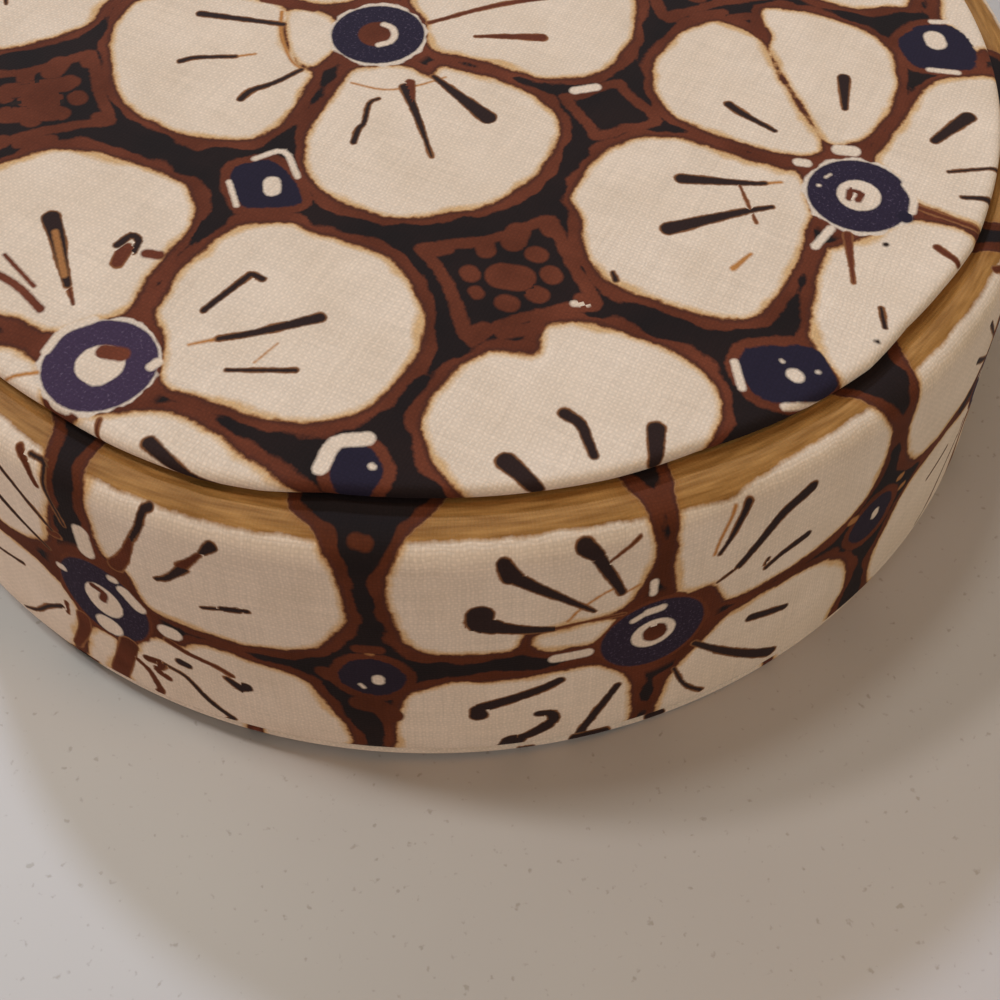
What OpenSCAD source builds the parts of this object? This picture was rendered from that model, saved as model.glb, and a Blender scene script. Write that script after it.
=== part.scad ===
// Round keepsake box: a full-depth lid that slides down over a neck standing on a thin base plate.
// Every piece is pasteboard, wadding, paper or glued cotton cloth. The origin is the middle of the
// underside, +Z is up and the box's axis is Z. All sizes are in millimetres.

/* [Lid] */
// Diameter over the cloth at the foot of the lid, the widest place of the box
lid_foot_d = 145; // [120:0.5:180]
// How much further in the wall stands at its shoulder than at its foot, on each side
wall_flare = 4; // [1:0.1:7]
// Height of the lid from its foot to the ledge round the panel
lid_h = 34.9; // [26:0.1:60]
// Radius of the shoulder over the cloth
shoulder_r = 2.3; // [1:0.1:3.5]
// Radius of the outer edge of the foot over the cloth
foot_r = 2; // [0.8:0.1:2.2]
// Thickness of the board that the wall is rolled from
wall_board_t = 2; // [1.5:0.1:3]
// Thickness of the board across the top of the wall
top_board_t = 2; // [1.2:0.1:3]
// Length of the wall cloth turned in over the top board, from the middle of the shoulder's curve
ledge_turn_in = 10; // [6:0.5:20]
// Length of the wall cloth turned up inside the foot
foot_turn_in = 12; // [6:0.5:16]

/* [Panel on the lid] */
// Width of the ledge left open between the panel and the wall's outer face
ledge_w = 4.5; // [3:0.1:10]
// Thickness of the panel's board
panel_board_t = 1.1; // [0.8:0.1:2]
// Width of the panel cloth turned in underneath
panel_turn_in = 10; // [6:0.5:20]

/* [Base plate] */
// How far the plate's edge stands in from the foot of the lid
plate_inset = 0.3; // [0:0.1:1.5]
// Thickness of the plate's board
plate_board_t = 1; // [0.8:0.1:2]
// Width of the plate cloth turned in underneath
plate_turn_in = 12; // [6:0.5:20]
// Thickness of the paper under the plate
paper_t = 0.2; // [0.1:0.05:0.5]
// How far the paper overlaps the turned-in cloth
paper_lap = 6; // [2:0.5:10]

/* [Neck] */
// Thickness of the neck's board
neck_board_t = 1.5; // [1:0.1:2.5]
// Clearance between the neck and the lid's lining
neck_gap = 0.6; // [0.4:0.1:1.5]
// Clearance between the neck's rim and the lining of the lid's top
head_gap = 1; // [0.5:0.1:6]

/* [Cloth and linings] */
// Thickness of the glued cotton cloth
cloth_t = 0.3; // [0.2:0.05:0.5]
// Thickness of the glue line between layers of the wall and the neck
glue_t = 0.02; // [0.01:0.01:0.1]
// Thickness of the lining inside the lid's wall
lining_t = 0.3; // [0.2:0.05:0.5]
// Distance from the lid's foot to the lower edge of the lining
lining_margin = 4; // [2:0.5:5]
// Thickness of the card that lines the lid's top
lid_card_t = 0.8; // [0.5:0.1:1.5]
// Width of cloth turned in on the lid's lining card
lid_card_turn_in = 8; // [5:0.5:15]

/* [Floor pad] */
// Thickness of the pad's card
floor_card_t = 1; // [0.6:0.1:2]
// Thickness of the wadding at the pad's edge
wadding_t = 1.6; // [1.2:0.1:4]
// Height that the wadding rises from its edge to its middle
wadding_crown = 1.2; // [0.5:0.1:3]
// Radius of the pad's upper edge over the cloth
pad_edge_r = 1.2; // [0.8:0.1:1.4]
// Width of the pad cloth turned in underneath
pad_turn_in = 9; // [5:0.5:15]
// Gap round a lining card or pad where it drops in
drop_in_gap = 0.3; // [0.2:0.05:0.8]

/* [Hidden] */
$fn = 180;
overcut = 1;

lid_foot_z = paper_t + 2 * cloth_t + plate_board_t;
ledge_z = lid_foot_z + lid_h;
top_board_top = ledge_z - cloth_t;
top_board_z = top_board_top - top_board_t;
foot_outer_r = lid_foot_d / 2;
shoulder_outer_r = foot_outer_r - wall_flare;
panel_r = shoulder_outer_r - ledge_w;
plate_r = foot_outer_r - plate_inset;

// The wall's straight side touches the foot's curve and the shoulder's curve
foot_centre = [foot_outer_r - foot_r, lid_foot_z + foot_r];
shoulder_centre = [shoulder_outer_r - shoulder_r, ledge_z - shoulder_r];
centre_line = shoulder_centre - foot_centre;
wall_angle = atan2(centre_line[1], centre_line[0]) - acos((foot_r - shoulder_r) / norm(centre_line));
wall_normal = [cos(wall_angle), sin(wall_angle)];

// Depths through the lid's wall and the neck, measured square to the wall from the outer cloth
board_in = cloth_t + glue_t + wall_board_t;
turn_in_out = board_in + glue_t;
turn_in_face = turn_in_out + cloth_t;
lining_out = turn_in_face + glue_t;
lining_in = lining_out + lining_t;
neck_out = lining_in + neck_gap;
neck_board_out = neck_out + cloth_t + glue_t;
neck_board_in = neck_board_out + neck_board_t;
neck_in = neck_board_in + glue_t + cloth_t;

turn_in_top = lid_foot_z + foot_turn_in;
lid_card_low = top_board_z - lid_card_t - 2 * cloth_t;
neck_top = lid_card_low - head_gap;
lid_card_r = wall_radius(turn_in_out + lining_t, top_board_z) - drop_in_gap;

pad_z = lid_foot_z;
pad_board_z = pad_z + cloth_t;
pad_wadding_z = pad_board_z + floor_card_t;
pad_edge_z = pad_wadding_z + wadding_t + cloth_t;
pad_r = wall_radius(neck_in, pad_edge_z) - drop_in_gap;
crown_chord = pad_r - pad_edge_r;
edge_steps = 6;
crown_steps = 12;

// Radius of the plane face that lies the given depth inside the wall, at height z
function wall_radius(depth, z) =
    (foot_centre * wall_normal + foot_r - depth - z * wall_normal[1]) / wall_normal[0];

// Half section of a ring parallel to the wall, from depth a to depth b and from z_low to z_high
module wall_band(a, b, z_low, z_high) {
    polygon([
        [wall_radius(b, z_low), z_low], [wall_radius(a, z_low), z_low],
        [wall_radius(a, z_high), z_high], [wall_radius(b, z_high), z_high]
    ]);
}

// Half section of the whole lid out to its wall, with a skin of the given thickness taken off
module lid_outline(skin) {
    polygon([
        [0, lid_foot_z + skin], [foot_centre[0], lid_foot_z + skin],
        foot_centre + (foot_r - skin) * wall_normal,
        shoulder_centre + (shoulder_r - skin) * wall_normal,
        [shoulder_centre[0], ledge_z - skin], [0, ledge_z - skin]
    ]);
    translate(foot_centre) circle(r = foot_r - skin);
    translate(shoulder_centre) circle(r = shoulder_r - skin);
}

// Half section of a disc of radius r with a fully rounded edge, from z up to z + t
module disc_outline(r, z, t) {
    translate([0, z]) square([r - t / 2, t]);
    translate([r - t / 2, z + t / 2]) circle(d = t);
}

// Half section of the board inside a covered disc of outer radius r whose cloth starts at z
module covered_board(r, z, board_t) {
    intersection() {
        disc_outline(r - cloth_t, z + cloth_t, board_t);
        translate([0, z]) square([r, board_t + 2 * cloth_t]);
    }
}

// Half section of the cloth on that disc: one whole face, its edge, and a margin turned in behind
module covering_cloth(r, z, board_t, turn_in, face_up = true) {
    total_t = board_t + 2 * cloth_t;
    intersection() {
        difference() {
            disc_outline(r, z, total_t);
            disc_outline(r - cloth_t, z + cloth_t, board_t);
            back_z = face_up ? z - overcut : z + cloth_t + board_t / 2;
            translate([-overcut, back_z])
                square([r - turn_in + overcut, overcut + cloth_t + board_t / 2]);
        }
        translate([0, z]) square([r, total_t]);
    }
}

// Half section of the floor pad from z_low up, with a skin of the given thickness taken off its face
module pad_outline(skin, z_low) {
    edge = [for (i = [0:edge_steps]) let (turn = 90 * i / edge_steps)
        [crown_chord, pad_edge_z - pad_edge_r] + (pad_edge_r - skin) * [cos(turn), sin(turn)]];
    crown = [for (i = [1:crown_steps]) let (out = 1 - i / crown_steps)
        [crown_chord * out, pad_edge_z - skin + wadding_crown * (1 - out * out)]];
    polygon(concat([[0, z_low], [pad_r - skin, z_low]], edge, crown));
}

module base_paper() {
    color("#b9a98c") cylinder(r = plate_r - plate_turn_in + paper_lap, h = paper_t);
}

module base_board() {
    color("#8d8377") rotate_extrude() covered_board(plate_r, paper_t, plate_board_t);
}

module base_cloth() {
    color("#cdbea6") rotate_extrude() covering_cloth(plate_r, paper_t, plate_board_t, plate_turn_in);
}

module neck_ring() {
    color("#8d8377") rotate_extrude()
        wall_band(neck_board_out, neck_board_in, lid_foot_z, neck_top - cloth_t - glue_t);
}

module neck_cloth() {
    color("#d8c9ad") rotate_extrude() difference() {
        wall_band(neck_out, neck_in, lid_foot_z, neck_top);
        wall_band(neck_out + cloth_t, neck_in - cloth_t, lid_foot_z - overcut, neck_top - cloth_t);
    }
}

module floor_card() {
    color("#8d8377") translate([0, 0, pad_board_z]) cylinder(r = pad_r - cloth_t, h = floor_card_t);
}

module floor_wadding() {
    color("#eee8da") rotate_extrude() pad_outline(cloth_t, pad_wadding_z);
}

module floor_cloth() {
    color("#d8c9ad") rotate_extrude() difference() {
        pad_outline(0, pad_z);
        pad_outline(cloth_t, pad_board_z);
        translate([-overcut, pad_z - overcut]) square([pad_r - pad_turn_in + overcut, overcut + cloth_t]);
    }
}

module lid_wall_board() {
    color("#8d8377") rotate_extrude() intersection() {
        lid_outline(cloth_t + glue_t);
        wall_band(cloth_t - overcut, board_in, lid_foot_z + cloth_t, top_board_z);
    }
}

module lid_top_board() {
    color("#8d8377") rotate_extrude() intersection() {
        lid_outline(cloth_t + glue_t);
        translate([0, top_board_z]) square([foot_outer_r, top_board_t]);
    }
}

module lid_wall_cloth() {
    color("#c4b293") rotate_extrude() {
        difference() {
            lid_outline(0);
            lid_outline(cloth_t);
            // The ledge's turn-in ends here
            translate([-overcut, top_board_z])
                square([shoulder_centre[0] - ledge_turn_in + overcut, ledge_z]);
            // Nothing crosses the open foot inside the wall
            wall_band(turn_in_face, foot_outer_r * 2, lid_foot_z - overcut, lid_foot_z + 2 * cloth_t);
        }
        wall_band(turn_in_out, turn_in_face, lid_foot_z, turn_in_top);
    }
}

module lid_wall_lining() {
    color("#d8c9ad") rotate_extrude() {
        wall_band(lining_out, lining_in, lid_foot_z + lining_margin, turn_in_top + 2 * lining_t);
        wall_band(turn_in_out, turn_in_out + lining_t, turn_in_top, top_board_z);
        wall_band(turn_in_out, lining_in, turn_in_top, turn_in_top + 2 * lining_t);
    }
}

module lid_lining_card() {
    color("#8d8377") rotate_extrude() covered_board(lid_card_r, lid_card_low, lid_card_t);
}

module lid_lining_cloth() {
    color("#d8c9ad") rotate_extrude()
        covering_cloth(lid_card_r, lid_card_low, lid_card_t, lid_card_turn_in, face_up = false);
}

module lid_panel_board() {
    color("#8d8377") rotate_extrude() covered_board(panel_r, ledge_z, panel_board_t);
}

module lid_panel_cloth() {
    color("#d2c4ac") rotate_extrude() covering_cloth(panel_r, ledge_z, panel_board_t, panel_turn_in);
}

base_paper();
base_board();
base_cloth();
neck_ring();
neck_cloth();
floor_card();
floor_wadding();
floor_cloth();
lid_wall_board();
lid_top_board();
lid_wall_cloth();
lid_wall_lining();
lid_lining_card();
lid_lining_cloth();
lid_panel_board();
lid_panel_cloth();
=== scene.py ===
import math

import bpy
import numpy as np
from mathutils import Matrix, Vector


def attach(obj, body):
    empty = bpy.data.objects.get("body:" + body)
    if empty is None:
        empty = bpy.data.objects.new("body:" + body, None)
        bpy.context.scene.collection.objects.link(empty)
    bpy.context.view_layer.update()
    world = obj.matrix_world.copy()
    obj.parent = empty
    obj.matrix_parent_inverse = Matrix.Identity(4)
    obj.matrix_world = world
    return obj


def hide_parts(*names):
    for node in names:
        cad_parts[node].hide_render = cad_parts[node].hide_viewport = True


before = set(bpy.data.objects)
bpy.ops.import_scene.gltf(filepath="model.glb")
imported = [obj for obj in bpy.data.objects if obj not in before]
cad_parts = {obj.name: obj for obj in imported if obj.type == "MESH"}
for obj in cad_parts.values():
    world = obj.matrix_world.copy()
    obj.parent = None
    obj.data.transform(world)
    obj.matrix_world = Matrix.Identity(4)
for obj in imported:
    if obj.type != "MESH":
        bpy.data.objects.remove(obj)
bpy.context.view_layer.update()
MM = 0.001


# Viewpoint and light
# The photograph looks steeply down on the front of the box from close by.
# A warm room light comes from all round, and two lamps stand behind and to the left.
def linear(code):
    """A linear colour with alpha from an sRGB hex code."""
    parts = [int(code[i:i + 2], 16) / 255 for i in (1, 3, 5)]
    return [p / 12.92 if p <= 0.04045 else ((p + 0.055) / 1.055) ** 2.4 for p in parts] + [1.0]


def add(tree, kind, *sockets, named=None, **settings):
    """Adds a node with its settings, and fills its sockets with values or links, in order or by name."""
    node = tree.nodes.new("ShaderNode" + kind)
    for name, value in settings.items():
        setattr(node, name, value)
    for place, value in [*enumerate(sockets), *(named or {}).items()]:
        if isinstance(value, bpy.types.Node):
            value = value.outputs[0]
        if isinstance(value, bpy.types.NodeSocket):
            tree.links.new(value, node.inputs[place])
        elif value is not None:
            node.inputs[place].default_value = value
    return node


eye = Vector((0.0, -118.4, 121.5)) * MM
look = Vector((0.03960, 0.54568, -0.83706))
up = Vector((0.03698, 0.83634, 0.54696))
view_lens = 41.97
view_sensor = 36.0

side = look.cross(up).normalized()
up = side.cross(look).normalized()
camera = bpy.data.objects.new("viewpoint", bpy.data.cameras.new("viewpoint"))
bpy.context.scene.collection.objects.link(camera)
camera.matrix_world = Matrix.Translation(eye) @ Matrix((side, up, -look)).transposed().to_4x4()
camera.data.lens = view_lens
camera.data.sensor_width = view_sensor
camera.data.clip_start = 0.005
bpy.context.scene.camera = camera
bpy.context.scene.view_settings.view_transform = "Standard"

room_light = (0.115, 0.145, 0.107)
lamps = (
    ("lamp_behind", (-12, 38, 36.5), (0.26, 0.32, 0.41), 5),
    ("lamp_left", (-22, 13, 36.5), (0.19, 0.195, 0.19), 5),
    ("lamp_left_high", (-10, 10, 36.5), (0.175, 0.19, 0.18), 8),
    ("glow_right_high", (15, 0, 36.5), (0.135, 0.06, 0.01), 12),
    ("glow_front_left", (-33, -37, 16), (0.108, 0.092, 0.085), 30),
    ("glow_right", (49, -13, 16), (0.063, 0.064, 0.057), 30),
)

world = bpy.data.worlds.new("room")
bpy.context.scene.world = world
world.use_nodes = True
world.node_tree.nodes.clear()
sky = world.node_tree
path = add(sky, "LightPath")
seen = add(sky, "Math", path.outputs["Is Camera Ray"], path.outputs["Is Glossy Ray"], operation="MAXIMUM")
around = add(sky, "Background", (*room_light, 1.0), 1.0)
backdrop = add(sky, "Background", linear("#e9e4de"), 1.0)
blend = add(sky, "MixShader", seen, around, backdrop)
add(sky, "OutputWorld", blend)

for name, towards, colour, spread in lamps:
    data = bpy.data.lights.new(name, "SUN")
    lamp = bpy.data.objects.new(name, data)
    bpy.context.scene.collection.objects.link(lamp)
    direction = Vector(towards).normalized()
    lamp.rotation_euler = direction.to_track_quat("Z", "Y").to_euler()
    data.color = colour
    data.energy = math.pi / direction.z
    data.angle = math.radians(spread)

# Counter
# The box stands on a smooth pale worktop, which isn't part of it.
bpy.ops.object.select_all(action="DESELECT")
bpy.ops.mesh.primitive_plane_add(size=4.0, location=(0, 0, -0.02 * MM))
counter = bpy.context.object
counter.name = "counter"

worktop = bpy.data.materials.new("pale_worktop")
worktop.use_nodes = True
tree = worktop.node_tree
tree.nodes.clear()
coordinates = add(tree, "TexCoord")
mottle = add(tree, "TexNoise", coordinates.outputs["Object"], named={"Scale": 40.0, "Detail": 4.0})
speckle = add(tree, "TexNoise", coordinates.outputs["Object"], named={"Scale": 900.0, "Detail": 2.0})
stone = add(tree, "MixRGB", mottle, linear("#a59c9b"), linear("#aba3a1"))
stone = add(tree, "MixRGB", add(tree, "MapRange", speckle, 0.66, 0.74), stone, linear("#938a84"))
surface = add(tree, "BsdfPrincipled", named={"Base Color": stone, "Roughness": 0.45})
add(tree, "OutputMaterial", surface)
counter.data.materials.append(worktop)


# Panel covering
# A disc of printed cotton glued over the panel's board, with its margin turned in underneath.
# The print is a traditional wax-resist pattern: four-petalled flowers round indigo rings on a
# near-black ground, with soga-brown outlines, squares between them and strokes drawn in the petals.
def lathe(name, section, steps):
    """Draws the section as a chain of extruded points and spins it round the box's axis."""
    bpy.ops.object.select_all(action="DESELECT")
    bpy.ops.mesh.primitive_plane_add(size=MM)
    piece = bpy.context.object
    piece.name = name
    bpy.ops.object.mode_set(mode="EDIT")
    bpy.ops.mesh.select_all(action="SELECT")
    bpy.ops.mesh.merge(type="CENTER")
    bpy.ops.transform.translate(value=(section[0][0] * MM, 0, section[0][1] * MM))
    for (r0, z0), (r1, z1) in zip(section, section[1:]):
        step = ((r1 - r0) * MM, 0, (z1 - z0) * MM)
        bpy.ops.mesh.extrude_vertices_move(TRANSFORM_OT_translate={"value": step})
    bpy.ops.mesh.select_all(action="SELECT")
    bpy.ops.mesh.spin(steps=steps, angle=2 * math.pi, center=(0, 0, 0), axis=(0, 0, 1))
    bpy.ops.mesh.select_all(action="SELECT")
    bpy.ops.mesh.remove_doubles(threshold=0.002 * MM)
    bpy.ops.mesh.normals_make_consistent(inside=False)
    bpy.ops.mesh.faces_shade_smooth()
    bpy.ops.object.mode_set(mode="OBJECT")
    return piece


def arc(centre, radius, first, last, steps):
    """Points of an arc in the section plane, with angles in degrees from the outward direction."""
    turns = np.radians(np.linspace(first, last, steps + 1))
    return [(centre[0] + radius * math.cos(t), centre[1] + radius * math.sin(t)) for t in turns]


def run(first, last, spacing):
    """Points along a straight stretch of the section, with both its ends."""
    count = max(1, round(math.dist(first, last) / spacing))
    first, last = np.array(first, float), np.array(last, float)
    return [tuple(first + (last - first) * i / count) for i in range(count + 1)]


def chain(*stretches):
    """Joins stretches of points and drops a point that repeats the one before it."""
    points = [p for stretch in stretches for p in stretch]
    return points[:1] + [b for a, b in zip(points, points[1:]) if math.dist(a, b) > 0.01]


def places(piece):
    """The vertices' places in mm as an array."""
    points = np.zeros(len(piece.data.vertices) * 3, np.float32)
    piece.data.vertices.foreach_get("co", points)
    return points.reshape(-1, 3).astype(float) / MM


def move_to(piece, points):
    """Puts the vertices at new places, given in mm."""
    piece.data.vertices.foreach_set("co", (points * MM).astype(np.float32).ravel())
    piece.data.update()


def polar(points):
    """Radius and azimuth in degrees, from -180 to 180, of points in mm."""
    return np.hypot(points[:, 0], points[:, 1]), np.degrees(np.arctan2(points[:, 1], points[:, 0]))


def soft_curve(points, closed, steps=5):
    """A smooth curve through given points."""
    b = np.array(points, float)
    if closed:
        a, c, d = np.roll(b, 1, 0), np.roll(b, -1, 0), np.roll(b, -2, 0)
    else:
        whole = np.vstack([2 * b[0] - b[1], b, 2 * b[-1] - b[-2]])
        a, b, c, d = whole[:-3], whole[1:-2], whole[2:-1], whole[3:]
    t = (np.arange(steps) / steps)[:, None, None]
    curve = b + ((c - a) * t + (2 * a - 5 * b + 4 * c - d) * t ** 2 + (3 * (b - c) + d - a) * t ** 3) / 2
    curve = curve.transpose(1, 0, 2).reshape(-1, 2)
    return curve if closed else np.vstack([curve, points[-1]])


def outline_field(points, outlines):
    """Distance in mm from each point to the nearest outline, negative inside one."""
    reach = 3.0
    points, back = np.unique(np.round(points, 4), axis=0, return_inverse=True)
    field = np.full(len(points), reach)
    for outline in outlines:
        edge = soft_curve(outline, closed=True)
        low, high = edge.min(0) - reach, edge.max(0) + reach
        near = np.flatnonzero(((points > low) & (points < high)).all(1))
        if not len(near):
            continue
        p = points[near]
        gap = np.full(len(p), reach ** 2)
        inside = np.zeros(len(p), bool)
        for a, b in zip(edge, np.roll(edge, -1, 0)):
            along = b - a
            share = np.clip((p - a) @ along / (along @ along), 0, 1)
            gap = np.minimum(gap, ((p - a - share[:, None] * along) ** 2).sum(1))
            crossed = (a[1] > p[:, 1]) != (b[1] > p[:, 1])
            rise = along[1] if abs(along[1]) > 1e-9 else 1e-9
            inside ^= crossed & (p[:, 0] < a[0] + (p[:, 1] - a[1]) * along[0] / rise)
        field[near] = np.minimum(field[near], np.where(inside, -1, 1) * np.sqrt(gap))
    return field[back.ravel()]


INKS = {"dark": 1, "brown": 2, "cream": 3, "night": 4, "amber": 5, "gold": 6}


def line_field(corners, face, middles, lines):
    """Each corner's place across and along the line nearest to its face, the half width and the ink."""
    legs = []
    best = np.full(len(middles), 2.5)
    nearest = np.full(len(middles), -1)
    for ink, start, end, points in lines:
        line = soft_curve(points, closed=False, steps=4)
        lengths = np.hypot(*np.diff(line, axis=0).T)
        before = np.cumsum(lengths) - lengths
        near = np.flatnonzero(((middles > line.min(0) - 4) & (middles < line.max(0) + 4)).all(1))
        for a, b, length, gone in zip(line, line[1:], lengths, before):
            along = (b - a) / length
            gap = middles[near] - a
            place = np.clip(gap @ along, 0, length)
            width = (start + (end - start) * (gone + place) / lengths.sum()) / 2
            distance = np.hypot(*(gap - place[:, None] * along).T) - width
            better = distance < best[near]
            best[near[better]] = distance[better]
            nearest[near[better]] = len(legs)
            legs.append((*a, *along, gone, lengths.sum(), start / 2, end / 2, INKS[ink]))
    chosen = nearest[face]
    ax, ay, tx, ty, gone, total, start, end, ink = np.array(legs)[chosen].T
    x, y = corners[:, 0] - ax, corners[:, 1] - ay
    place = x * tx + y * ty + gone
    width = start + (end - start) * np.clip(place / total, 0, 1)
    field = np.stack([x * ty - y * tx, np.minimum(place, total - place), width, ink], 1)
    field[chosen < 0] = (9.0, -9.0, 0.0, 0.0)
    return field


def ring_field(corners, face, middles, rings):
    """Each corner's place in the frame of the nearest ring, scaled by the ring's sizes, its hole and fading."""
    rings = np.array(rings, float)
    nearest = ((middles[:, None] - rings[:, :2]) ** 2).sum(2).argmin(1)[face]
    x, y, wide, high, kind, faded = rings[nearest].T
    return np.stack([(corners[:, 0] - x) / wide, (corners[:, 1] - y) / high, kind, faded], 1)


def print_on(piece, flat_place, girth, design):
    """Stores on the piece where its print lies, from each vertex's place on the flat cloth in mm."""
    mesh = piece.data
    vertex = np.zeros(len(mesh.loops), int)
    first = np.zeros(len(mesh.polygons), int)
    count = np.zeros(len(mesh.polygons), int)
    mesh.loops.foreach_get("vertex_index", vertex)
    mesh.polygons.foreach_get("loop_start", first)
    mesh.polygons.foreach_get("loop_total", count)
    face = np.repeat(np.arange(len(first)), count)
    corners = flat_place[vertex]
    if girth:
        corners[:, 0] += girth * np.round((corners[first[face], 0] - corners[:, 0]) / girth)
    middles = np.add.reduceat(corners, first) / count[:, None]
    mesh.uv_layers.new(name="cloth")
    mesh.uv_layers["cloth"].data.foreach_set("uv", corners.astype(np.float32).ravel())
    for name in ("petal", "gem", "rosette"):
        layer = mesh.attributes.new(name, "FLOAT", "CORNER")
        layer.data.foreach_set("value", outline_field(corners, design[name]).astype(np.float32))
    fields = {"ring": ring_field(corners, face, middles, design["ring"])}
    for name, inks in {"stroke": ("dark", "brown"), "vein": ("amber",), "mark": tuple(INKS)}.items():
        lines = [line for line in design[name] if line[0] in inks]
        fields[name] = line_field(corners, face, middles, lines)
    for name, field in fields.items():
        layer = mesh.attributes.new(name, "FLOAT_COLOR", "CORNER")
        layer.data.foreach_set("color", field.astype(np.float32).ravel())


def weave(tree, face, warp, weft):
    """Lays the threads over a cloth's colour: each is a little lighter or darker than the next one. The gaps between
    threads and every other crossing get painted shade in the colour.
    """
    pitch = 0.3735
    uneven = add(tree, "TexNoise", add(tree, "CombineXYZ", warp, weft), named={"Scale": 0.6, "Detail": 1.0})
    uneven = add(tree, "SeparateColor", uneven.outputs["Color"])
    warp = add(tree, "Math", uneven, 0.7, warp, operation="MULTIPLY_ADD")
    weft = add(tree, "Math", uneven.outputs["Green"], 0.7, weft, operation="MULTIPLY_ADD")
    across = add(tree, "Math", add(tree, "Math", warp, math.pi / pitch, operation="MULTIPLY"), operation="SINE")
    along = add(tree, "Math", add(tree, "Math", weft, math.pi / pitch, operation="MULTIPLY"), operation="SINE")
    crossing = add(tree, "Math", across, along, operation="MULTIPLY")
    gaps = add(tree, "Math", add(tree, "Math", crossing, operation="ABSOLUTE"), 0.5, operation="POWER")
    slubs = 0.0
    for fast, slow in ((warp, weft), (weft, warp)):
        fast = add(tree, "Math", fast, 1 / pitch, operation="MULTIPLY")
        slow = add(tree, "Math", slow, 0.12, operation="MULTIPLY")
        thread = add(tree, "TexNoise", add(tree, "CombineXYZ", fast, slow), named={"Scale": 1.0, "Detail": 1.0})
        slubs = add(tree, "Math", thread, slubs, operation="ADD")
    # Painted shade: the colour is darker in the gaps between threads and a little lighter and darker on alternate
    # crossings; the slubs are the threads' own tone.
    thread_tone_and_gap_shade = add(tree, "Math", crossing, 0.05, 0.69, operation="MULTIPLY_ADD")
    thread_tone_and_gap_shade = add(tree, "Math", gaps, 0.14, thread_tone_and_gap_shade, operation="MULTIPLY_ADD")
    thread_tone_and_gap_shade = add(tree, "Math", slubs, 0.2, thread_tone_and_gap_shade, operation="MULTIPLY_ADD")
    face = add(tree, "MixRGB", 1.0, face, thread_tone_and_gap_shade, blend_type="MULTIPLY")
    height = add(tree, "Math", slubs, 0.6, gaps, operation="MULTIPLY_ADD")
    return face, add(tree, "Bump", 0.35, 0.06 * MM, named={"Height": height})


def cloth_axes(tree, turn):
    """The two directions of the threads, in mm, from the cloth's own flat coordinates."""
    flat = add(tree, "UVMap", uv_map="cloth")
    c, s = math.cos(math.radians(turn)), math.sin(math.radians(turn))
    warp = add(tree, "VectorMath", flat, (c, s, 0), operation="DOT_PRODUCT").outputs["Value"]
    weft = add(tree, "VectorMath", flat, (-s, c, 0), operation="DOT_PRODUCT").outputs["Value"]
    return warp, weft, add(tree, "CombineXYZ", warp, weft)


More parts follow.
